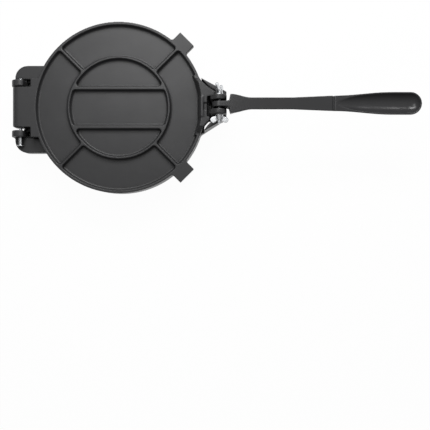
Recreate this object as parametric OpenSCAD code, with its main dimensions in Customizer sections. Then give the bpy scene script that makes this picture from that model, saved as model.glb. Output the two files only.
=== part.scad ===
// A cast-iron tortilla press: two round plates hinged at one side, closed by a folding lever.
// Millimetres, +Z up. The origin lies on the table, midway along the whole length.
// Each module draws about the middle of the plates; "placed" then moves it to the origin above.

/* [Plates] */
// Diameter of both plates
plate_d = 203.2; // [180:0.1:230]
// Height of the lid's rim above its pressing face
lid_h = 11.8; // [10.5:0.1:16]
// Depth of the pockets between the lid's ribs
pocket_depth = 5; // [3:0.1:7]
// Width of the lid's rim
rim_w = 3.2; // [2.5:0.1:6]
// Outer radius of the ring rib at its top
ring_r = 60.6; // [50:0.1:66]
// Width of the ring rib at its top
ring_w = 2.2; // [1.5:0.1:4]
// Distance of each long bar rib from the middle
bar_y = 23.1; // [18:0.1:30]
// Width of the bar ribs at their tops
bar_w = 3.5; // [2:0.1:5]
// Width of the slanting spoke ribs at their tops
spoke_w = 2.4; // [1.5:0.1:4]
// How much each rib side leans outwards towards its root
rib_draft = 1.2; // [0.4:0.1:1.5]
// Radius of the fillet at the root of the ribs and of the rim
root_r = 1.8; // [0.8:0.1:2.2]
// Width of the grip tabs
tab_w = 22.7; // [15:0.1:30]
// How far the grip tabs stand out past the plate
tab_out = 12.9; // [8:0.1:18]
// Thickness of the grip tabs
tab_t = 7; // [5:0.1:9]

/* [Base] */
// Height of the pressing face above the table
press_z = 26; // [24:0.1:36]
// Depth of the base casting from its pressing face to the lower edge of its rim
base_h = 14; // [11.5:0.1:16]
// Thickness of the base plate
base_t = 7; // [5:0.1:9]
// Width of the base's rim
base_rim_w = 5; // [3:0.1:8]
// Diameter of a foot where it leaves the plate
foot_d = 15; // [12:0.1:18]
// Diameter of a foot where it stands
foot_low_d = 12; // [9:0.1:12]
// How far the middle of each front foot stands inside the plate's edge
front_foot_in = 13.6; // [9:0.1:25]
// How far the middle of each back foot stands inside the hinge pin
back_foot_in = 5.4; // [3:0.1:7]
// Distance of the back feet from the middle line
back_foot_y = 40; // [34:0.1:42]

/* [Hinge] */
// Distance of the hinge pin past the plate's edge
hinge_out = 17.4; // [15:0.1:22]
// Height of the hinge pin above the pressing face
hinge_up = 3; // [2.6:0.1:5]
// Diameter of the hinge pin
pin_d = 4; // [3:0.1:5]
// Radial clearance of a pin or a bolt in its bore
bore_gap = 0.05; // [0.02:0.01:0.1]
// Outer radius of the lid's hinge barrel
barrel_r = 8.8; // [7:0.1:9]
// Outer radius of the base's hinge lugs
lug_r = 9.9; // [8:0.1:10]
// Width of the lid's hinge tongue
tongue_w = 47.6; // [35:0.1:50]
// Sideways place of the tongue
tongue_y = 0.8; // [-1:0.1:1.2]
// Radius of the tongue's rounded corner, at -Y
tongue_corner = 3.6; // [1:0.1:6]
// Clear width between the two lugs
lug_space = 52.4; // [51:0.1:56]
// Sideways place of the pair of lugs
lug_y = -0.5; // [-1:0.1:1]
// Thickness of each lug
lug_t = 7.8; // [6:0.1:8.5]
// Length of bare pin outside the lug at its head
pin_bare = 9; // [5:0.1:12]
// Diameter of the pin's head
pin_head_d = 7.4; // [6:0.1:7.6]
// Thickness of the pin's head
pin_head_t = 1.3; // [1:0.1:3]
// Thickness of the retaining ring
clip_t = 1; // [0.6:0.1:1.2]
// Diameter of the retaining ring
clip_d = 8; // [7:0.1:9]
// Width of the base's extension that carries the hinge
ext_w = 105; // [100:0.1:115]
// How far the extension reaches past the hinge pin
ext_out = 7.9; // [6:0.1:9]
// Radius of the extension's outer corners
ext_corner = 15; // [5:0.1:18]
// How far the extension's top lies below the pressing face
ext_drop = 0.4; // [0.3:0.1:2]
// Depth of the trough between the extension's outer parts
trough_depth = 2; // [1:0.1:4]
// Depth of the pocket behind each lug
lug_pocket = 9; // [4:0.1:10]
// Distance of the pocket behind each lug from the pin
pocket_from = 5.6; // [4.4:0.1:7]
// Distance from the pin at which that pocket ends
pocket_to = 11.6; // [10:0.1:14]
// How far the pocket at -Y stops short of its lug's outer side
pocket_short = 2.4; // [0:0.1:3]
// How far the trough runs past the lug at +Y
trough_past = 2.4; // [2.2:0.1:4]
// Width of the lid's shoulder at the hinge
shoulder_w = 69.6; // [60:0.1:72]
// How far the lid's shoulder reaches past the rim
shoulder_out = 3.1; // [2:0.1:3.6]

/* [Fork] */
// Distance of the pivot past the plate's edge
pivot_out = 17.4; // [17.4:0.1:24]
// Outer radius of the fork's ears
ear_r = 8.5; // [8.3:0.1:9.4]
// Thickness of each ear
ear_t = 5.9; // [4:0.1:7]
// Clear width between the ears
ear_space = 10.6; // [8:0.1:11]
// Height of the side braces below the pivot
brace_drop = 11.3; // [11.1:0.1:14]
// Half width across the braces, level with the pivot
brace_half = 20.4; // [19:0.1:22]
// How far both braces' outer sides are shifted towards +Y
brace_side = 2.1; // [0:0.1:2.4]
// Half width across the braces where they leave the plate's edge
brace_root_half = 32.8; // [31:0.1:34]
// Height of the braces' underside above the base's lower edge, level with the pivot
brace_rise = 12; // [8:0.1:14]
// Half width of the stem between the openings
stem_half = 14.5; // [12:0.1:15]
// Half width across the braces at the fork's outer end
brace_end_half = 15.6; // [14:0.1:17]
// Radius of the fillet between the brace at +Y and the plate
brace_fillet = 18; // [10:0.5:24]
// Radius of the fillet between the brace at -Y and the plate
slit_fillet = 6; // [4:0.5:10]
// Gap between the nose of the lid and the brace at +Y
brace_gap = 1.3; // [0.8:0.1:2]
// Gap between the nose of the lid and the brace at -Y
slit_w = 2.4; // [1.4:0.1:3]
// How far the fork's underside rises towards its end
fork_rise = 11; // [0:0.1:14]

/* [Nose of the lid] */
// Height of the nose above the rim
nose_up = 7.4; // [5:0.1:9]
// Height of the pressing pad above the nose
pad_up = 0.8; // [0.5:0.1:1.5]
// Length of the pressing pad, across the press
pad_l = 23.4; // [18:0.1:26]
// Width of the pressing pad
pad_w = 3.2; // [2:0.1:4]
// How far the nose's inner side leans back between the pocket's floor and its top
nose_lean = 3.5; // [1:0.1:5]
// How far the pad stands in over the pocket
pad_in = 1.1; // [0.9:0.1:2]
// Radius of the nose's hollow sides, which run out into the plate's edge
nose_side_r = 39; // [34:0.5:44]
// Width of the shallow recess in the nose, in line with the lever
recess_w = 8.7; // [7:0.1:10]
// Depth of that recess
recess_depth = 1.6; // [0.8:0.1:3]
// How far in from the foot of the nose's hollow sides its ramps start
ramp_in = 3; // [0:0.1:5]
// Length of the ramps at both ends of the nose
nose_ramp = 7; // [3:0.1:9]
// Half width of the nose at its tip, at +Y
nose_tip_half = 17.8; // [17:0.1:19.5]
// Half width of the nose at its shorter tip, at -Y
short_tip_half = 15.9; // [15.2:0.1:18]
// How far the nose reaches past the plate
nose_out = 12; // [11:0.1:12.4]
// How much shorter the nose is at -Y, below the wing nut
nose_short = 5.8; // [5:0.1:7]
// How far the notch for the ears starts past the plate
notch_out = 3.3; // [2.5:0.1:3.5]
// Thickness of the nose where it overhangs the base
nose_t = 11; // [8:0.1:12]

/* [Lever] */
// Radius of the lever's eye, which is also the height of its pressing face over the pivot
eye_r = 8.2; // [7.6:0.1:8.2]
// Thickness of the lever's eye
eye_t = 6.2; // [4:0.1:7]
// Width of the neck beside the eye
neck_w = 7.4; // [6:0.1:9]
// Length from the pivot to the lever's tip
lever_l = 231.2; // [210:0.1:260]
// Distance of the shoulder from the pivot
shoulder_x = 12.6; // [12.5:0.1:15]
// Width across the shoulder
lever_shoulder_w = 22; // [18:0.1:24]
// Length over which the shoulder narrows to the bar
shoulder_l = 24; // [18:0.1:30]
// Length of the lever's full depth past its shoulder
deep_l = 10; // [6:0.1:16]
// Width of the bar
lever_bar_w = 13.6; // [11:0.1:16]
// Depth of the bar
lever_bar_t = 7; // [5:0.1:7]
// How much larger the round back's radius is than half the bar's width
bar_edge = 0.3; // [0.1:0.1:1]
// Length over which the shoulder's back becomes round
shoulder_round = 4; // [2:0.1:6]
// Width of the grip
grip_w = 26; // [22:0.1:30]
// Length of the grip
grip_l = 101; // [85:0.1:115]
// Width where the bar meets the grip
grip_start_w = 17.8; // [16:0.1:20]
// Length over which the bar widens to the grip's start
neck_l = 46; // [30:0.1:60]
// Width of the edge left round the grip's hollow
grip_edge = 1.5; // [1:0.1:3]
// Distance of the hollow's point from the grip's start
hollow_start = 3; // [1:0.1:15]
// Length over which the hollow swells to the grip's width
hollow_swell = 30; // [15:0.1:50]
// Length over which the grip swells to its full width
grip_swell = 68; // [40:0.5:70]
// Width of the groove across the grip's start
groove_w = 1.9; // [0.8:0.1:2.5]
// Depth of that groove
groove_depth = 1.4; // [0.4:0.1:1.8]
// Depth of the grip's hollow
hollow_depth = 6.6; // [4:0.1:8]

/* [Pivot fasteners] */
// Diameter of the pivot bolt
bolt_d = 4; // [3:0.1:5]
// Diameter of the washers
washer_d = 10; // [9:0.1:11]
// Thickness of the washers
washer_t = 1; // [0.8:0.1:1.6]
// Radius that the wings reach
wing_r = 10.4; // [9:0.1:10.6]
// Thickness of the wings
wing_t = 2.2; // [1.5:0.1:3]
// Radius of a wing's round end
wing_end_r = 3.2; // [2.5:0.1:3.6]
// Height of the wings over their seat
wing_h = 8.6; // [7:0.1:10]
// Height of the wings of the wing screw
screw_wing_h = 12; // [9:0.1:12.5]
// Angle between the wings of the wing screw and the upright
screw_turn = 20; // [0:1:25]
// Diameter of the hub at its seat
hub_d = 8.4; // [7:0.1:9]
// Diameter of the hub at its top
hub_top_d = 7; // [6:0.1:8]
// Height of the hub
hub_h = 5.4; // [4:0.1:6]
// Height of the wings' lower edge over their seat
wing_up = 0.8; // [0.4:0.1:1.5]
// Length of bolt that stands out of the nut
bolt_out = 4.2; // [1:0.1:6]

/* [Hidden] */

iron = "#3f3f41";
iron_lid = "#4a4a4c";
zinc = "#c9cbce";

$fn = 96;
web_join = 14;         // how far in the fork and the hinge join the plate
eps = 0.02;            // how far one part of a casting reaches into the next
rest_gap = 0.3;        // clearance between the lever's face and the pad when folded over
run_gap = 0.8;         // clearance between castings that swing past each other
seat_gap = 0.1;        // play between the wing nut and its washer
clip_gap = 0.2;        // play between the hinge's lug and the ring on its pin
pin_end = 1.2;         // how far the pin runs on past its ring
rib_step = 2;          // how far the base's ribs stop short of its rim
stop_x = 2.6;          // where the stop for the lever's neck starts, past the pivot
shoulder_step = 1.6;   // length over which the bar widens to its shoulder
grip_join = 1.5;       // how far the bar runs into the grip
brace_in = 8;          // how far past the stem's root the braces' underside starts to rise
root_web = 1.8;        // width of the web between the plate's edge and the openings
stem_in = 4;           // how far past the plate's edge the stem's underside starts to rise
spoke_sink = 0.03;      // how far the spokes' roots lie below the ring's
slot_past = 1.5;       // how far the slot under the barrel runs past the pin

plate_r = plate_d / 2;
web_reach = plate_r - web_join;
rim_z = press_z + lid_h;
floor_z = rim_z - pocket_depth;
hinge_z = press_z + hinge_up;
ext_z = press_z - ext_drop;
nose_z = rim_z + nose_up;
pad_z = nose_z + pad_up;
pivot_z = pad_z + rest_gap + eye_r;
base_low = press_z - base_h;
web_low = press_z - base_t;
hinge_x = plate_r + hinge_out;
pivot_x = plate_r + pivot_out;
ext_x = hinge_x + ext_out;
fork_end = pivot_x + ear_r;
block_x = pivot_x - ear_r;   // where the block below the ears starts
fork_half = ear_space / 2 + ear_t;
brace_z = pivot_z - brace_drop;
nose_x = plate_r + nose_out;
notch_x = plate_r + notch_out;
notch_half = fork_half + run_gap;
ear_foot = shoulder_x - shoulder_step - run_gap;   // where the ears' slope ends, short of the folded lever
pocket_r = plate_r - rim_w;
root_t = root_r * tan((90 - rib_angle()) / 2);
root_w = rib_draft + root_t;   // how far a rib's root stands out past its top edge
tip_x = pivot_x + lever_l;
mid_x = (tip_x - hinge_x - lug_r) / 2;
lug_in = lug_space / 2;
lug_out = lug_in + lug_t;
seat_y = fork_half + washer_t;   // where the wing nut and the screw's head sit

module placed() translate([-mid_x, 0, 0]) children();

// Angle by which a rib's side leans from the upright
function rib_angle() = atan(rib_draft / pocket_depth);

// Side of a rib from its root at z0, round the fillet and up to its top edge at z1. Each point is
// [distance out from the top edge, height].
function rib_side(z0, z1) =
    let (up = z1 > z0 ? 1 : -1)
    concat([for (i = [0:3]) let (a = -90 - i * (90 - rib_angle()) / 3)
               [root_w + root_r * cos(a), z0 + up * root_r * (1 + sin(a))]],
           [[0, z1]]);

// The same points from the last to the first
function back(points) = [for (i = [len(points) - 1:-1:0]) points[i]];

// A bar of drafted section along X
module drafted_bar(x0, x1, w, z0, z1) {
    side = rib_side(z0, z1);
    translate([x0, 0, 0]) rotate([90, 0, 90]) linear_extrude(x1 - x0)
        polygon(concat([for (p = side) [w / 2 + p[0], p[1]]],
                       [for (p = back(side)) [-w / 2 - p[0], p[1]]]));
}

// A ring of drafted section between two radii
module drafted_ring(r_in, r_out, z0, z1) {
    side = rib_side(z0, z1);
    rotate_extrude()
        polygon(concat([for (p = side) [r_out + p[0], p[1]]],
                       [for (p = back(side)) [r_in - p[0], p[1]]]));
}

// Ribs that stiffen both castings: a ring and four spokes, from a web at z0 to their tops at z1
module rib_pattern(z0, z1) {
    drafted_ring(ring_r - ring_w, ring_r, z0, z1);
    for (a = [45, 135, 225, 315]) rotate(a)
        drafted_bar(ring_r - ring_w / 2, pocket_r + rim_w / 2, spoke_w,
                    z1 > z0 ? z0 - spoke_sink : z0 + spoke_sink, z1);
}

// A plate with a round rim whose inner wall leans outwards towards the top
module rimmed_plate(z_face, z_web, z_rim, wall) {
    rotate_extrude()
        polygon(concat([[0, z_face], [plate_r, z_face], [plate_r, z_rim]],
                       [for (p = back(rib_side(z_web, z_rim))) [plate_r - wall - p[0], p[1]]],
                       [[0, z_web]]));
}

// Vertical fillet of radius f between the plate's edge and a straight side that runs from a point
// at angle a, on the side's left
module edge_fillet(start, a, f, h) {
    along = [cos(a), sin(a)];
    across = [-sin(a), cos(a)];
    off = start * across + f;
    mid = across * off + along * sqrt(pow(plate_r + f, 2) - off * off);
    root = across * (off - f) + along * sqrt(plate_r * plate_r - pow(off - f, 2));
    difference() {
        linear_extrude(h) polygon([mid, mid - across * f, mid - across * (f + 1), root * 0.98,
                                   mid * (plate_r - 1) / (plate_r + f)]);
        translate([mid[0], mid[1], -1]) cylinder(h = h + 2, r = f + eps);
    }
}

// Tip of the nose at +Y (1) or -Y (-1), mirrored to +Y
function nose_tip(s) = s > 0 ? [nose_x, nose_tip_half] : [nose_x - nose_short, short_tip_half];

// Middle of the arc that makes the nose's hollow side: it touches the plate's edge and passes
// through the tip. It is given as [angle, distance from the plates' middle].
function side_mid(s) =
    let (t = nose_tip(s), d = norm(t), m = plate_r + nose_side_r)
    [atan2(t[1], t[0]) + acos((m * m + d * d - nose_side_r * nose_side_r) / (2 * d * m)), m];

// Where that arc touches the plate's edge
function side_foot(s) = plate_r * [cos(side_mid(s)[0]), sin(side_mid(s)[0])];

// Points along the nose's hollow side, set out by a gap, from just past its foot to the tip. The
// first point lies inside the plate.
function side_points(s, gap) =
    let (c = side_mid(s)[1] * [cos(side_mid(s)[0]), sin(side_mid(s)[0])],
         a0 = side_mid(s)[0] + 180,
         to_tip = nose_tip(s) - c,
         a1 = atan2(to_tip[1], to_tip[0]) + 360)
    concat([side_foot(s) * 0.98],
           [for (i = [1:12]) let (a = a0 + i * (a1 - a0) / 12)
               c + (nose_side_r - gap) * [cos(a), sin(a)]]);

function mirrored(points) = [for (p = points) [p[0], -p[1]]];

// Plan of the lid's nose, with the notch for the ears. It is shorter at -Y.
module nose_plan() {
    polygon(concat([[web_reach, side_foot(1)[1]]], side_points(1, 0),
                   [[nose_x, notch_half], [notch_x, notch_half], [notch_x, -notch_half],
                    [nose_x - nose_short, -notch_half]],
                   back(mirrored(side_points(-1, 0))), [[web_reach, -side_foot(-1)[1]]]));
}

// The raised nose, which ramps up from the rim, and the pad that the lever presses
module lid_nose() {
    slope = nose_lean / (nose_z - floor_z);
    high_half = side_foot(1)[1];
    low_half = side_foot(-1)[1];
    intersection() {
        // the side towards the pocket leans back, down to the pocket's floor
        rotate_extrude() polygon([[pocket_r - nose_lean, floor_z - eps], [plate_r - 1, floor_z - eps],
                                  [plate_r - 1, nose_z - nose_t], [2 * plate_r, nose_z - nose_t],
                                  [2 * plate_r, nose_z], [pocket_r, nose_z]]);
        translate([0, 0, floor_z - 1]) linear_extrude(nose_z) nose_plan();
        rotate([90, 0, 90]) linear_extrude(nose_x + 1)
            polygon([[-low_half - 1, floor_z - 1], [high_half + 1, floor_z - 1],
                     [high_half + 1, rim_z], [high_half - ramp_in, rim_z],
                     [high_half - ramp_in - nose_ramp, nose_z],
                     [nose_ramp + ramp_in - low_half, nose_z], [ramp_in - low_half, rim_z],
                     [-low_half - 1, rim_z]]);
    }
    translate([pocket_r - pad_in, pad_l / 2, 0]) rotate([90, 0, 0]) linear_extrude(pad_l)
        polygon([[slope * (floor_z - pad_z), floor_z - eps], [pad_w, floor_z - eps],
                 [pad_w, pad_z], [0, pad_z]]);
}

// Tongue and barrel of the hinge
module lid_tongue() {
    intersection() {
        union() {
            translate([-hinge_x, tongue_y - tongue_w / 2, press_z + rest_gap])
                cube([hinge_x - plate_r + 2, tongue_w, hinge_z + barrel_r - press_z - rest_gap]);
            translate([-hinge_x, tongue_y, hinge_z]) rotate([90, 0, 0])
                cylinder(h = tongue_w, r = barrel_r, center = true);
        }
        // one corner is rounded in plan
        translate([-hinge_x - barrel_r, tongue_y - tongue_w / 2, 0]) {
            translate([tongue_corner, -1, 0]) cube([hinge_x, tongue_w + 2, 2 * rim_z]);
            translate([-1, tongue_corner, 0]) cube([hinge_x, tongue_w, 2 * rim_z]);
            translate([tongue_corner, tongue_corner, 0]) cylinder(h = 2 * rim_z, r = tongue_corner);
        }
    }
}

module lid() {
    color(iron_lid) difference() {
        union() {
            rimmed_plate(press_z, floor_z, rim_z, rim_w);
            rib_pattern(floor_z - eps, rim_z);
            intersection() {
                cylinder(h = rim_z + 1, r = ring_r - ring_w / 2);
                for (s = [-1, 1]) translate([0, s * bar_y, 0])
                    drafted_bar(-ring_r, ring_r, bar_w, floor_z - eps, rim_z);
            }
            for (a = [-45, 45]) rotate(a)
                translate([plate_r - rim_w / 2, -tab_w / 2, rim_z - tab_t])
                    cube([tab_out + rim_w / 2, tab_w, tab_t]);
            lid_nose();
            // shoulder of the hinge
            difference() {
                translate([-plate_r - shoulder_out, -shoulder_w / 2, press_z])
                    cube([plate_r + shoulder_out - web_reach, shoulder_w, lid_h]);
                cylinder(h = rim_z + 1, r = plate_r - rim_w / 2);
            }
            lid_tongue();
        }
        translate([-hinge_x, tongue_y, hinge_z]) rotate([90, 0, 0])
            cylinder(h = tongue_w + 2, r = pin_d / 2 + bore_gap, center = true);
        translate([pocket_r - pad_in + pad_w, -recess_w / 2, nose_z - recess_depth])
            cube([nose_x, recess_w, recess_depth + 1]);
    }
}

// Where the outer side of the brace at +Y (1) or -Y (-1) leaves the plate's edge, and where it
// bends, level with the pivot. Both are mirrored to +Y.
function brace_root(s) =
    let (y = brace_root_half + s * brace_side) [sqrt(plate_r * plate_r - y * y), y];
function brace_bend(s) = [pivot_x, brace_half + s * brace_side];
function brace_angle(s) = let (run = brace_bend(s) - brace_root(s)) atan(run[1] / run[0]);

// Plan of the two braces and of all between them, from the plate to the fork's end
module brace_plan() {
    for (s = [-1, 1]) scale([1, s])
        polygon([[web_reach, -eps], [fork_end, -eps], [fork_end, brace_end_half + s * brace_side],
                 brace_bend(s), brace_root(s), [web_reach, brace_root(s)[1]]]);
}

// Plan of the openings beside the stem, past a radius. They leave a half width of stem_w, and
// follow the nose's sides at a gap, which is slit at -Y. The one at +Y ends at to_x.
module opening_plan(past_r, stem_w, slit, to_x) {
    difference() {
        for (s = [-1, 1]) scale([1, s]) {
            open_to = s > 0 ? to_x : block_x;
            side = side_points(s, s > 0 ? brace_gap : slit);
            polygon(concat([[web_reach, stem_w], [open_to, stem_w], [open_to, side[12][1] - 1]],
                           back(side), [[web_reach, side[0][1]]]));
        }
        circle(r = past_r);
    }
}

// Upright prism below which the fork has nothing: it rises from the base's lower edge at x0 to a
// height "rise" above it at x1, and runs on level to the fork's end
module above_underside(x0, x1, rise) {
    rotate([90, 0, 0]) linear_extrude(4 * brace_half, center = true)
        polygon([[0, base_low], [x0, base_low], [x1, base_low + rise],
                 [fork_end + 2, base_low + rise], [fork_end + 2, brace_z + 1], [0, brace_z + 1]]);
}

// The two braces and the flat part of the stem. Above low_z they stay clear of the lid.
module braces() {
    low_z = press_z - run_gap;
    intersection() {
        union() {
            translate([0, 0, base_low]) {
                linear_extrude(low_z - base_low) difference() {
                    brace_plan();
                    opening_plan(plate_r + root_web, stem_half, brace_gap, block_x);
                }
                edge_fillet(brace_root(1), brace_angle(1), brace_fillet, low_z - base_low);
                scale([1, -1, 1])
                    edge_fillet(brace_root(-1), brace_angle(-1), slit_fillet, low_z - base_low);
            }
            difference() {
                translate([0, 0, low_z - eps]) {
                    linear_extrude(brace_z - low_z + eps) brace_plan();
                    edge_fillet(brace_root(1), brace_angle(1), brace_fillet, brace_z - low_z + eps);
                }
                translate([0, 0, low_z - 1]) {
                    cylinder(h = brace_z, r = plate_r + brace_gap);
                    linear_extrude(brace_z) opening_plan(web_reach, -eps, slit_w, nose_x + run_gap);
                }
            }
        }
        above_underside(web_reach + brace_in, pivot_x, brace_rise);
    }
}

module fork() {
    bridge_z = pivot_z - eye_r - run_gap;
    difference() {
        union() {
            braces();
            intersection() {
                union() {
                    translate([web_reach, -fork_half, base_low])
                        cube([fork_end - web_reach, 2 * fork_half, press_z - run_gap - base_low]);
                    translate([block_x, -fork_half, base_low])
                        cube([fork_end - block_x, 2 * fork_half, brace_z - base_low]);
                }
                above_underside(plate_r + stem_in, fork_end + 1, fork_rise);
            }
        }
        translate([0, 0, base_low - 1]) cylinder(h = base_h + 2, r = plate_r - base_rim_w / 2);
    }
    // ears, whose inner sides slope down towards the plate
    for (s = [-1, 1]) translate([pivot_x, s * (ear_space + ear_t) / 2, 0])
        rotate([90, 0, 0]) linear_extrude(ear_t, center = true) {
            translate([0, pivot_z]) circle(r = ear_r);
            polygon([[-ear_foot, press_z], [ear_r, press_z], [ear_r, pivot_z],
                     [0, pivot_z], [0, pivot_z] + ear_r * [cos(135), sin(135)],
                     [-ear_foot, pivot_z + ear_r * sqrt(2) - ear_foot]]);
        }
    // bridge between the ears
    translate([block_x, -ear_space / 2 - eps, press_z])
        cube([2 * ear_r, ear_space + 2 * eps, bridge_z - press_z]);
    // stop that the lever's neck rests on
    translate([pivot_x + stop_x, -ear_space / 2 - eps, bridge_z - eps])
        cube([ear_r - stop_x, ear_space + 2 * eps, run_gap + eps]);
}

module hinge_extension() {
    difference() {
        union() {
            translate([-ext_x + ext_corner, -ext_w / 2, base_low])
                cube([ext_x - ext_corner - plate_r / 2, ext_w, ext_z - base_low]);
            translate([-ext_x, -ext_w / 2 + ext_corner, base_low])
                cube([ext_corner + 1, ext_w - 2 * ext_corner, ext_z - base_low]);
            for (s = [-1, 1]) translate([-ext_x + ext_corner, s * (ext_w / 2 - ext_corner), base_low])
                cylinder(h = ext_z - base_low, r = ext_corner);
        }
        translate([0, 0, base_low - 1]) cylinder(h = base_h + 2, r = plate_r - base_rim_w / 2);
        // trough for the lugs, and the groove and the slot for the barrel
        translate([-ext_x - 1, lug_y - lug_out - eps, ext_z - trough_depth])
            cube([ext_x + 1 - web_reach, 2 * lug_out + trough_past + eps, trough_depth + 1]);
        translate([-hinge_x, tongue_y, hinge_z]) rotate([90, 0, 0])
            cylinder(h = tongue_w + run_gap, r = barrel_r + run_gap / 2, center = true);
        translate([-ext_x - 1, lug_y - lug_in, base_low - 1])
            cube([ext_out + slot_past + 1, lug_space, base_h + 2]);
        // pocket behind each lug
        translate([-hinge_x + pocket_from, lug_y + lug_in - eps, ext_z - lug_pocket])
            cube([pocket_to - pocket_from, lug_t + trough_past + eps, lug_pocket + 1]);
        translate([-hinge_x + pocket_from, lug_y - lug_out + pocket_short, ext_z - lug_pocket])
            cube([pocket_to - pocket_from, lug_t - pocket_short + eps, lug_pocket + 1]);
    }
    // lugs, cut off upright where the pockets start
    for (s = [-1, 1]) translate([-hinge_x, lug_y + s * (lug_in + lug_t / 2), 0])
        rotate([90, 0, 0]) linear_extrude(lug_t, center = true) intersection() {
            union() {
                translate([0, hinge_z]) circle(r = lug_r);
                translate([-lug_r, base_low]) square([2 * lug_r, hinge_z - base_low]);
            }
            translate([-lug_r, 0]) square([lug_r + pocket_from + eps, 2 * rim_z]);
        }
}

module foot(x, y) {
    translate([x, y, 0]) cylinder(h = web_low + 1, d1 = foot_low_d, d2 = foot_d);
}

module base() {
    color(iron) difference() {
        union() {
            rimmed_plate(press_z, web_low, base_low, base_rim_w);
            rib_pattern(web_low + eps, base_low + rib_step);
            hinge_extension();
            fork();
            for (a = [-45, 45])
                foot((plate_r - front_foot_in) * cos(a), (plate_r - front_foot_in) * sin(a));
            for (s = [-1, 1]) foot(back_foot_in - hinge_x, s * back_foot_y);
        }
        translate([-hinge_x, 0, hinge_z]) rotate([90, 0, 0])
            cylinder(h = ext_w, r = pin_d / 2 + bore_gap, center = true);
        translate([pivot_x, 0, pivot_z]) rotate([90, 0, 0])
            cylinder(h = 4 * fork_half, r = bolt_d / 2 + bore_gap, center = true);
    }
}

// Half width of the lever's bar at a share of the way from its shoulder to its narrow part
function shoulder_half(share) =
    (lever_bar_w + (lever_shoulder_w - lever_bar_w) * (1 + cos(180 * share)) / 2) / 2;

// Lever, drawn about its pivot: plan, side view, and the round back and hollow of the grip
module lever_plan() {
    grip_x = lever_l - grip_l;
    side = concat([[0, eye_t / 2], [eye_r, eye_t / 2], [eye_r + neck_w - eye_t, neck_w / 2],
                   [shoulder_x - shoulder_step, neck_w / 2]],
                  [for (i = [0:8]) [shoulder_x + i * shoulder_l / 8, shoulder_half(i / 8)]],
                  [[grip_x - neck_l, lever_bar_w / 2], [grip_x, grip_start_w / 2 - eps],
                   [grip_x + grip_join, grip_start_w / 2 - eps]]);
    polygon(concat(side, [for (i = [len(side) - 1:-1:0]) [side[i][0], -side[i][1]]]));
}

// Round back of the bar: deep at the shoulder, and it runs out into the grip's round back
module lever_back() {
    grip_x = lever_l - grip_l;
    thin_r = lever_bar_w / 2 + bar_edge;
    rotate([0, 90, 0]) rotate_extrude()
        polygon([[0, -2 * eye_r], [2 * eye_r + 1, -2 * eye_r], [2 * eye_r + 1, shoulder_x - shoulder_step],
                 [lever_shoulder_w / 2 + bar_edge, shoulder_x + shoulder_round],
                 [thin_r, shoulder_x + shoulder_l], [thin_r, grip_x - neck_l],
                 [grip_start_w / 2 - eps, grip_x], [grip_start_w / 2 - eps, lever_l], [0, lever_l]]);
}

module lever_side() {
    polygon([[0, -eye_r], [shoulder_x + deep_l, -eye_r],
             [shoulder_x + deep_l + shoulder_l, eye_r - lever_bar_t],
             [lever_l - grip_l - neck_l, eye_r - lever_bar_t],
             [lever_l - grip_l, eye_r - grip_start_w / 2],
             [lever_l, eye_r - grip_start_w / 2], [lever_l, eye_r], [0, eye_r]]);
}

// Half width of the grip at a distance x from its start, up to its round tip
function grip_half(x) =
    grip_start_w / 2 + (grip_w - grip_start_w) / 2 * (1 - cos(180 * min(x / grip_swell, 1))) / 2;

// Side of the grip in plan, as [half width, distance], set in by an amount. It ends short of the
// tip by an angle.
function grip_outline(inset, short) =
    let (tip = grip_l - grip_w / 2)
    concat([for (i = [0:24]) [grip_half(i * tip / 24) - inset, i * tip / 24]],
           [for (i = [1:12]) let (a = i * (90 - short) / 12)
               [(grip_w / 2 - inset) * cos(a), tip + (grip_w / 2 - inset) * sin(a)]]);

// The hollow starts in a narrow point and soon fills the grip's width
function hollow_share(x) = pow(sin(90 * min(1, (x - hollow_start) / hollow_swell)), 0.6);

module grip() {
    hollow_half = grip_w / 2 - grip_edge;
    rise = (pow(hollow_half, 2) - pow(hollow_depth, 2)) / (2 * hollow_depth);
    sides = [for (p = grip_outline(grip_edge, 6)) if (p[1] > hollow_start) p];
    translate([lever_l - grip_l, 0, eye_r]) difference() {
        intersection() {
            rotate([0, 90, 0]) rotate_extrude()
                polygon(concat([[0, 0]], grip_outline(0, 0)));
            translate([0, -grip_w, -grip_w]) cube([grip_l + 1, 2 * grip_w, grip_w]);
        }
        // the hollow: a spindle whose axis runs above the face
        translate([0, 0, rise]) rotate([0, 90, 0]) rotate_extrude()
            polygon(concat([[0, sides[0][1]]],
                           [for (p = sides) [norm([rise, hollow_share(p[1]) * p[0]]), p[1]]],
                           [[0, sides[len(sides) - 1][1]]]));
        // groove across the grip's start
        translate([-groove_w / 2, -grip_w, -groove_depth])
            cube([groove_w, 2 * grip_w, groove_depth + 1]);
    }
}

module lever() {
    color(iron) translate([pivot_x, 0, pivot_z]) difference() {
        union() {
            rotate([90, 0, 0]) cylinder(h = eye_t, r = eye_r, center = true);
            intersection() {
                translate([0, 0, -eye_r]) linear_extrude(2 * eye_r) lever_plan();
                rotate([90, 0, 0]) linear_extrude(2 * grip_w, center = true) lever_side();
                translate([0, 0, eye_r]) lever_back();
            }
            grip();
        }
        rotate([90, 0, 0]) cylinder(h = 2 * eye_t, r = bolt_d / 2 + bore_gap, center = true);
    }
}

// Pin of the lid's hinge: its head stands clear of the lug at -Y
module hinge_pin() {
    head_y = lug_y - lug_out - pin_bare;
    end_y = lug_y + lug_out + clip_t + pin_end;
    color(zinc) translate([-hinge_x, 0, hinge_z]) rotate([-90, 0, 0]) {
        translate([0, 0, head_y]) cylinder(h = end_y - head_y, d = pin_d);
        translate([0, 0, head_y - pin_head_t]) cylinder(h = pin_head_t + eps, d = pin_head_d);
    }
}

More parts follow.
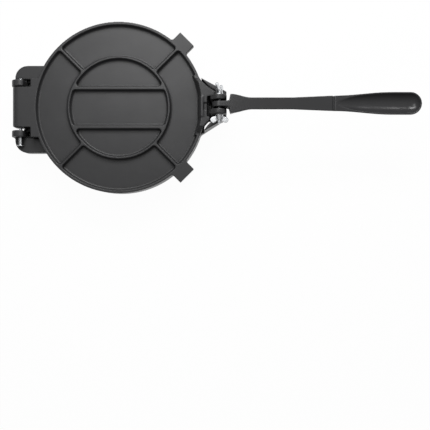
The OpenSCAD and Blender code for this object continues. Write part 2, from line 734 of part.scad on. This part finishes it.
module hinge_clip() {
    color(zinc) translate([-hinge_x, lug_y + lug_out + clip_gap, hinge_z]) rotate([-90, 0, 0])
        difference() {
            cylinder(h = clip_t, d = clip_d);
            translate([0, 0, -1]) cylinder(h = clip_t + 2, d = pin_d);
        }
}

// Hub and two wings of height h about +Z, seated at z = 0
module winged_hub(h) {
    end = [wing_r - wing_end_r, h - wing_end_r];
    cylinder(h = hub_h, d1 = hub_d, d2 = hub_top_d);
    rotate([90, 0, 0]) linear_extrude(wing_t, center = true) for (s = [-1, 1]) scale([s, 1]) {
        translate(end) circle(r = wing_end_r);
        polygon([[0, wing_up], [hub_d / 2, wing_up], end + wing_end_r * [cos(-40), sin(-40)],
                 end + wing_end_r * [cos(110), sin(110)], [0, hub_h - wing_up]]);
    }
}

module wing_screw() {
    end_y = seat_y + seat_gap + hub_h + bolt_out;
    color(zinc) translate([pivot_x, 0, pivot_z]) {
        translate([0, seat_y, 0]) rotate([-90, 0, 0]) rotate(90 - screw_turn)
            winged_hub(screw_wing_h);
        rotate([90, 0, 0]) translate([0, 0, -seat_y - eps]) cylinder(h = seat_y + end_y + eps, d = bolt_d);
    }
}

module wing_nut() {
    color(zinc) translate([pivot_x, -seat_y - seat_gap, pivot_z]) rotate([90, 0, 0]) difference() {
        winged_hub(wing_h);
        translate([0, 0, -1]) cylinder(h = wing_h + 2, r = bolt_d / 2 + bore_gap);
    }
}

module pivot_washers() {
    color(zinc) for (s = [-1, 1]) translate([pivot_x, s * (fork_half + washer_t / 2), pivot_z])
        rotate([90, 0, 0]) difference() {
            cylinder(h = washer_t, d = washer_d, center = true);
            cylinder(h = washer_t + 2, r = bolt_d / 2 + bore_gap, center = true);
        }
}

placed() base();
placed() lid();
placed() lever();
placed() hinge_pin();
placed() hinge_clip();
placed() wing_screw();
placed() wing_nut();
placed() pivot_washers();
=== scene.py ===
import math
import bpy
from mathutils import Matrix, Vector


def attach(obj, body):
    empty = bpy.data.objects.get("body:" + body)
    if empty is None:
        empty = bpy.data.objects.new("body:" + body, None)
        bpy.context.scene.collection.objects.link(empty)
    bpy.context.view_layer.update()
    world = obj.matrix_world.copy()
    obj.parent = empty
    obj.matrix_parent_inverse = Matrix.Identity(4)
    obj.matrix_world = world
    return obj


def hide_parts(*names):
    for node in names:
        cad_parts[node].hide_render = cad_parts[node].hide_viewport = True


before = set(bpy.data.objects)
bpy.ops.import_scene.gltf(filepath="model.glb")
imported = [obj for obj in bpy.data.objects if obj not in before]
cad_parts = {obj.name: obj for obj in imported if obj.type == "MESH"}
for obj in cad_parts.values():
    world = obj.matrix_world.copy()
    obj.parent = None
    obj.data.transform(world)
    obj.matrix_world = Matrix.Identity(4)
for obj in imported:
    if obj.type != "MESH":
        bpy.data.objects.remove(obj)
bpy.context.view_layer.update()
print("frame loaded")


def toLinear(hexColour):  # sRGB hex to the linear values that Blender's sockets take
    values = [int(hexColour[i:i + 2], 16) / 255 for i in (1, 3, 5)]
    return [v / 12.92 if v <= 0.04045 else ((v + 0.055) / 1.055) ** 2.4 for v in values] + [1]


def addNode(tree, kind, settings=None, **links):
    node = tree.nodes.new(kind)
    for name, value in (settings or {}).items():
        if name in node.inputs:
            node.inputs[name].default_value = value
        else:
            setattr(node, name, value)
    for name, source in links.items():
        tree.links.new(source, node.inputs[name.replace("_", " ")])
    return node


def newMaterial(name):
    material = bpy.data.materials.new(name)
    material.use_nodes = True
    material.node_tree.nodes.clear()
    return material, material.node_tree


def mixColours(tree, colours, share):  # each colour is a hex value or another node's output
    node = addNode(tree, "ShaderNodeMix", {"data_type": "RGBA"}, Factor=share)
    sockets = [socket for socket in node.inputs if socket.type == "RGBA"]
    for socket, colour in zip(sockets, colours):
        if isinstance(colour, str):
            socket.default_value = toLinear(colour)
        else:
            tree.links.new(colour, socket)
    return [socket for socket in node.outputs if socket.type == "RGBA"][0]


def joinValues(tree, operation, first, second):  # second is a number or another node's output
    node = addNode(tree, "ShaderNodeMath", {"operation": operation})
    tree.links.new(first, node.inputs[0])
    if isinstance(second, float):
        node.inputs[1].default_value = second
    else:
        tree.links.new(second, node.inputs[1])
    return node.outputs[0]


def noise(tree, place, size, detail):
    return addNode(tree, "ShaderNodeTexNoise", {"Scale": 1 / size, "Detail": detail},
                   Vector=place).outputs["Fac"]


def openness(tree, look):  # 0 deep in a corner or a gap, 1 on open ground
    reach = addNode(tree, "ShaderNodeAmbientOcclusion", {"Distance": look["depth"],
                                                         "samples": look["samples"]})
    return addNode(tree, "ShaderNodeMapRange", {"From Min": look["closed"],
                                                "From Max": look["open"]},
                   Value=reach.outputs["AO"]).outputs["Result"]


# the camera hangs over the press, about 0.7 m up, and looks straight down
camera = dict(x=0.00335, y=-0.1274, z=0.7108, lens=47.6, sensor=36)


def makeCamera():
    bpy.ops.object.camera_add(location=(camera["x"], camera["y"], camera["z"]), rotation=(0, 0, 0))
    obj = bpy.context.object
    obj.data.lens = camera["lens"]
    obj.data.sensor_width = camera["sensor"]
    bpy.context.scene.camera = obj


makeCamera()
print("camera placed")

# cast iron, seasoned with baked oil: nearly black with a dull gloss, duller where oil pooled and
# charred in the corners, with painted shade that darkens its colour in corners and gaps, and the
# fine grain of the sand mould under it
ironLook = dict(colour="#303031", pale="#3a3a3b", blotch=0.03, blotchDetail=4.0,
                # corner is the painted shade colour laid into corners and gaps where shade falls;
                # depth, samples, closed and open shape its mask
                corner="#020202", depth=0.006, samples=8, closed=0.42, open=0.9,
                roughness=0.37, spread=0.04, shine=0.36, charredRoughness=0.5,
                grain=0.0007, grainDetail=2.0, grainDepth=0.00005, grainStrength=0.6,
                swell=0.012, swellDetail=1.0, swellDepth=0.00018, swellStrength=0.5)

# the lever's iron, worn smoother by the hand: the grip's hollow shows a soft streak of light
handledLook = dict(ironLook, colour="#2f2f30", pale="#383839", roughness=0.23, blotch=0.02)


def makeIron(name, look):
    material, tree = newMaterial(name)
    place = addNode(tree, "ShaderNodeTexCoord").outputs["Object"]
    blotch = noise(tree, place, look["blotch"], look["blotchDetail"])
    grain = noise(tree, place, look["grain"], look["grainDetail"])
    swell = noise(tree, place, look["swell"], look["swellDetail"])
    body = mixColours(tree, (look["colour"], look["pale"]), blotch)
    # painted shade: deep in corners and gaps the colour turns to the near-black corner colour; the
    # same mask makes the gloss duller there
    paintedShadeAndDullMask = openness(tree, look)
    colour = mixColours(tree, (look["corner"], body), paintedShadeAndDullMask)
    waves = addNode(tree, "ShaderNodeBump", {"Strength": look["swellStrength"],
                                             "Distance": look["swellDepth"]}, Height=swell)
    bump = addNode(tree, "ShaderNodeBump", {"Strength": look["grainStrength"],
                                            "Distance": look["grainDepth"]},
                   Height=grain, Normal=waves.outputs["Normal"])
    gloss = addNode(tree, "ShaderNodeMapRange", {"To Min": look["roughness"] + look["spread"],
                                                 "To Max": look["roughness"] - look["spread"]},
                    Value=blotch)
    dull = addNode(tree, "ShaderNodeMix", {"A": look["charredRoughness"]},
                   Factor=paintedShadeAndDullMask, B=gloss.outputs["Result"])
    shader = addNode(tree, "ShaderNodeBsdfPrincipled", {"Specular IOR Level": look["shine"]},
                     Base_Color=colour, Roughness=dull.outputs["Result"],
                     Normal=bump.outputs["Normal"])
    addNode(tree, "ShaderNodeOutputMaterial", Surface=shader.outputs["BSDF"])
    return material


# zinc-plated steel: bright, slightly milky metal, a little dull where fingers and tools touched
# it, with painted shade that turns its colour nearly black deep in the gaps
# deep is the painted shade colour for the gaps; depth, samples, closed and open shape its mask
zincLook = dict(colour="#d6d8da", deep="#0c0c0d", depth=0.003, samples=8, closed=0.2, open=0.6,
                glossiest=0.18, dullest=0.34, patch=0.003, patchDetail=3.0,
                grain=0.0004, grainDetail=2.0, grainDepth=0.00002, grainStrength=0.4)


def makeZinc(name, look):
    material, tree = newMaterial(name)
    place = addNode(tree, "ShaderNodeTexCoord").outputs["Object"]
    patch = noise(tree, place, look["patch"], look["patchDetail"])
    grain = noise(tree, place, look["grain"], look["grainDetail"])
    gloss = addNode(tree, "ShaderNodeMapRange", {"To Min": look["glossiest"],
                                                 "To Max": look["dullest"]}, Value=patch)
    bump = addNode(tree, "ShaderNodeBump", {"Strength": look["grainStrength"],
                                            "Distance": look["grainDepth"]}, Height=grain)
    # painted shade: deep in the gaps the colour turns to the near-black deep colour
    colour = mixColours(tree, (look["deep"], look["colour"]), openness(tree, look))
    shader = addNode(tree, "ShaderNodeBsdfPrincipled", {"Metallic": 1.0},
                     Base_Color=colour, Roughness=gloss.outputs["Result"],
                     Normal=bump.outputs["Normal"])
    addNode(tree, "ShaderNodeOutputMaterial", Surface=shader.outputs["BSDF"])
    return material


seasonedIron = makeIron("seasonedCastIron", ironLook)
handledIron = makeIron("handledCastIron", handledLook)
zincPlatedSteel = makeZinc("zincPlatedSteel", zincLook)
looks = dict(base=seasonedIron, lid=seasonedIron, lever=handledIron)
for name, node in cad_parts.items():
    node.data.materials.clear()
    node.data.materials.append(looks.get(name, zincPlatedSteel))
print("materials made")


def onlyThis(obj):
    bpy.ops.object.select_all(action="DESELECT")
    obj.select_set(True)
    bpy.context.view_layer.objects.active = obj


# a pattern maker rounds each corner of the lid's pockets, and the roots of its two tabs
plates = dict(middle=-0.11065, radius=0.1016, rim=0.0032, ringOut=0.0606, ringIn=0.0584,
              spokeHalf=0.0012, barOut=0.02485, barIn=0.02135, tabHalf=0.01135, tabLow=0.0308,
              pocketLow=0.0325, top=0.0378, cornerRadius=0.0036, tabRadius=0.003, lean=0.0012,
              overlap=0.0005, inset=0.000125, segments=48, coreHeight=1.02,
              spokeTurns=(45, 135, 225, 315), tabTurns=(-45, 45))


def turned(points, degrees):
    spin = math.radians(degrees)
    return [(x * math.cos(spin) - y * math.sin(spin), x * math.sin(spin) + y * math.cos(spin))
            for x, y in points]


def along(radius, side):  # where a circle crosses a line that runs at "side" beside its middle
    return math.sqrt(radius ** 2 - side ** 2)


def pocketCorners():  # each corner as the corner point and the middle of its round
    p = plates
    r = p["cornerRadius"]
    rimIn = p["radius"] - p["rim"]
    corners = []
    for turn in p["spokeTurns"]:
        for side in (-1, 1):
            beside = p["spokeHalf"] + r
            for edge, middle in ((rimIn, rimIn - r), (p["ringOut"], p["ringOut"] + r)):
                pair = [(along(edge, p["spokeHalf"]), side * p["spokeHalf"]),
                        (along(middle, beside), side * beside)]
                corners.append(turned(pair, turn))
    for edge, middle in ((p["barOut"], p["barOut"] + r), (p["barIn"], p["barIn"] - r)):
        for sx in (-1, 1):
            for sy in (-1, 1):
                corners.append([(sx * along(p["ringIn"], edge), sy * edge),
                                (sx * along(p["ringIn"] - r, middle), sy * middle)])
    return corners


def tabCorners():
    p = plates
    corners = []
    for turn in p["tabTurns"]:
        for side in (-1, 1):
            beside = p["tabHalf"] + p["tabRadius"]
            pair = [(along(p["radius"], p["tabHalf"]), side * p["tabHalf"]),
                    (along(p["radius"] + p["tabRadius"], beside), side * beside)]
            corners.append(turned(pair, turn))
    return corners


def cutAway(obj, cutter):
    onlyThis(obj)
    cut = obj.modifiers.new("cut", "BOOLEAN")
    cut.operation = "DIFFERENCE"
    cut.solver = "EXACT"
    cut.object = cutter
    bpy.ops.object.modifier_apply(modifier="cut")
    bpy.data.objects.remove(cutter)


def joinAll(group):
    bpy.ops.object.select_all(action="DESELECT")
    for obj in group:
        obj.select_set(True)
    bpy.context.view_layer.objects.active = group[0]
    bpy.ops.object.join()
    bpy.ops.object.transform_apply(location=True, rotation=True, scale=True)
    return bpy.context.object


# a three-sided wedge in each corner, less the cone that is the round's hollow side
triangle = dict(halfWidth=math.cos(math.radians(30)), height=1.5)


def roundFills(corners, radius, low, high, lean):
    wedges, cores = [], []
    height = high - low
    for corner, middle in corners:
        toCorner = Vector(corner) - Vector(middle)
        reach = toCorner.length
        half = math.asin(radius / reach)
        foot = radius * math.sin(half) - plates["inset"]
        deep = reach + plates["overlap"] - foot
        direction = toCorner.normalized()
        spot = Vector(middle) + direction * (foot + deep / 3)
        bpy.ops.mesh.primitive_cylinder_add(vertices=3, radius=1, depth=height)
        wedge = bpy.context.object
        wedge.scale = (deep * math.tan(half) / triangle["halfWidth"], deep / triangle["height"], 1)
        bpy.ops.object.transform_apply(scale=True)
        wedge.rotation_euler = (0, 0, math.atan2(direction.y, direction.x) - math.radians(90))
        wedge.location = (spot.x + plates["middle"], spot.y, (low + high) / 2)
        wedges.append(wedge)
        bpy.ops.mesh.primitive_cone_add(vertices=plates["segments"], radius1=radius - lean,
                                        radius2=radius, depth=height,
                                        location=(middle[0] + plates["middle"], middle[1],
                                                  (low + high) / 2))
        core = bpy.context.object
        core.scale.z = plates["coreHeight"]
        cores.append(core)
    fills = joinAll(wedges)
    cutAway(fills, joinAll(cores))
    return fills


def lidFills():
    p = plates
    return [roundFills(pocketCorners(), p["cornerRadius"], p["pocketLow"], p["top"], p["lean"]),
            roundFills(tabCorners(), p["tabRadius"], p["tabLow"], p["top"], 0)]


# low step across the lever where the bar meets the grip
crossStep = dict(x=0.1386, top=0.0627, deep=0.0016, length=0.005, width=0.02, height=0.004,
                 slope=36)


def stepCutter():
    size = crossStep
    turn = Matrix.Rotation(-math.radians(size["slope"]), 3, "Y")
    middle = Vector((size["x"], 0, size["top"] - size["deep"])) + turn @ Vector(
        (size["length"], 0, size["height"]))
    bpy.ops.mesh.primitive_cube_add(size=2, location=middle, rotation=turn.to_euler(),
                                    scale=(size["length"], size["width"], size["height"]))
    cutter = bpy.context.object
    onlyThis(cutter)
    bpy.ops.object.transform_apply(location=True, rotation=True, scale=True)
    return cutter


# sand leaves no sharp edge on the castings, and a small fillet at each root; the small plated
# pieces are forged or turned, with soft edges
pieces = dict(lid=dict(voxel=0.0006, rounds=4), base=dict(voxel=0.0007, rounds=5),
              lever=dict(voxel=0.0005, rounds=5), wing_nut=dict(voxel=0.00022, rounds=5),
              wing_screw=dict(voxel=0.00025, rounds=5), pivot_washers=dict(voxel=0.0002, rounds=2),
              hinge_pin=dict(voxel=0.0002, rounds=3), hinge_clip=dict(voxel=0.00015, rounds=2))
finish = dict(weld=0.000005, ease=0.5, mostTriangles=180000)


def softenEdges(piece, size):
    remesh = piece.modifiers.new("remesh", "REMESH")
    remesh.mode = "VOXEL"
    remesh.voxel_size = size["voxel"]
    bpy.ops.object.modifier_apply(modifier="remesh")
    smooth = piece.modifiers.new("smooth", "SMOOTH")
    smooth.factor = finish["ease"]
    smooth.iterations = size["rounds"]
    bpy.ops.object.modifier_apply(modifier="smooth")
    count = len(piece.data.polygons) * 2
    decimate = piece.modifiers.new("decimate", "DECIMATE")
    decimate.ratio = min(1, finish["mostTriangles"] / count)
    bpy.ops.object.modifier_apply(modifier="decimate")
    bpy.ops.object.shade_smooth()


def finishPiece(node, size):
    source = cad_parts[node]
    piece = source.copy()
    piece.data = source.data.copy()
    piece.name = node + "Finished"
    bpy.context.scene.collection.objects.link(piece)
    piece.parent = None
    piece.matrix_world.identity()
    onlyThis(piece)
    bpy.ops.object.mode_set(mode="EDIT")
    bpy.ops.mesh.select_all(action="SELECT")
    bpy.ops.mesh.remove_doubles(threshold=finish["weld"])
    bpy.ops.object.mode_set(mode="OBJECT")
    if node == "lid":
        fills = lidFills()
        onlyThis(piece)
        for fill in fills:
            fill.select_set(True)
        bpy.ops.object.join()
    if node == "lever":
        cutAway(piece, stepCutter())
    softenEdges(piece, size)
    piece.data.materials.clear()
    piece.data.materials.append(looks.get(node, zincPlatedSteel))
    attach(piece, node if node in ("lid", "lever", "wing_nut") else "base")
    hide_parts(node)
    print(node, "finished,", len(piece.data.polygons), "faces")


for node, size in pieces.items():
    finishPiece(node, size)

# pale table that glows white to the eye; a soft box hangs over the press's left half, a little to
# the north, and a long window to the north throws the short soft shadows beside the walls
stage = dict(floor=3.0, glow=0.97, tableColour="#f4f4f4", zenith=0.52, horizon=0.0)
lamps = dict(softBox=dict(place=(-0.15, 0.27, 0.64), aim=(-0.15, 0.25, 0.0), width=0.30,
                          length=0.34, power=1.2),
             window=dict(place=(0.04, 0.60, 0.58), aim=(0.0, 0.0, 0.03), width=0.76,
                         length=0.22, power=5.5))


def makeTable():
    bpy.ops.mesh.primitive_plane_add(size=stage["floor"], location=(0, 0, 0))
    table = bpy.context.object
    table.name = "tableTop"
    material, tree = newMaterial("paleTable")
    ray = addNode(tree, "ShaderNodeLightPath")
    seen = ray.outputs["Is Camera Ray"]
    for kind in ("Is Glossy Ray", "Is Transmission Ray"):
        seen = joinValues(tree, "MAXIMUM", seen, ray.outputs[kind])
    share = joinValues(tree, "MULTIPLY", seen, stage["glow"])
    matt = addNode(tree, "ShaderNodeBsdfDiffuse", {"Color": toLinear(stage["tableColour"])})
    glow = addNode(tree, "ShaderNodeEmission", {"Color": (1, 1, 1, 1), "Strength": 1.0})
    mix = addNode(tree, "ShaderNodeMixShader")
    tree.links.new(share, mix.inputs[0])
    tree.links.new(matt.outputs[0], mix.inputs[1])
    tree.links.new(glow.outputs[0], mix.inputs[2])
    addNode(tree, "ShaderNodeOutputMaterial", Surface=mix.outputs[0])
    table.data.materials.append(material)


def makeLight():
    for name, lamp in lamps.items():
        bpy.ops.object.light_add(type="AREA", location=lamp["place"])
        made = bpy.context.object
        made.name = name
        made.data.shape = "RECTANGLE"
        made.data.size = lamp["width"]
        made.data.size_y = lamp["length"]
        made.data.energy = lamp["power"]
        toward = Vector(lamp["place"]) - Vector(lamp["aim"])
        made.rotation_euler = toward.to_track_quat("Z", "Y").to_euler()
    world = bpy.data.worlds.new("studio")
    bpy.context.scene.world = world
    world.use_nodes = True
    tree = world.node_tree
    tree.nodes.clear()
    up = addNode(tree, "ShaderNodeSeparateXYZ",
                 Vector=addNode(tree, "ShaderNodeTexCoord").outputs["Generated"])
    rise = addNode(tree, "ShaderNodeMapRange", {"To Min": stage["horizon"],
                                                "To Max": stage["zenith"]}, Value=up.outputs["Z"])
    seen = addNode(tree, "ShaderNodeLightPath").outputs["Is Camera Ray"]
    bright = joinValues(tree, "MAXIMUM", seen, rise.outputs["Result"])
    sky = addNode(tree, "ShaderNodeBackground", {"Color": (1, 1, 1, 1)}, Strength=bright)
    addNode(tree, "ShaderNodeOutputWorld", Surface=sky.outputs[0])


makeTable()
makeLight()
bpy.context.scene.view_settings.view_transform = "Standard"
print("stage set")
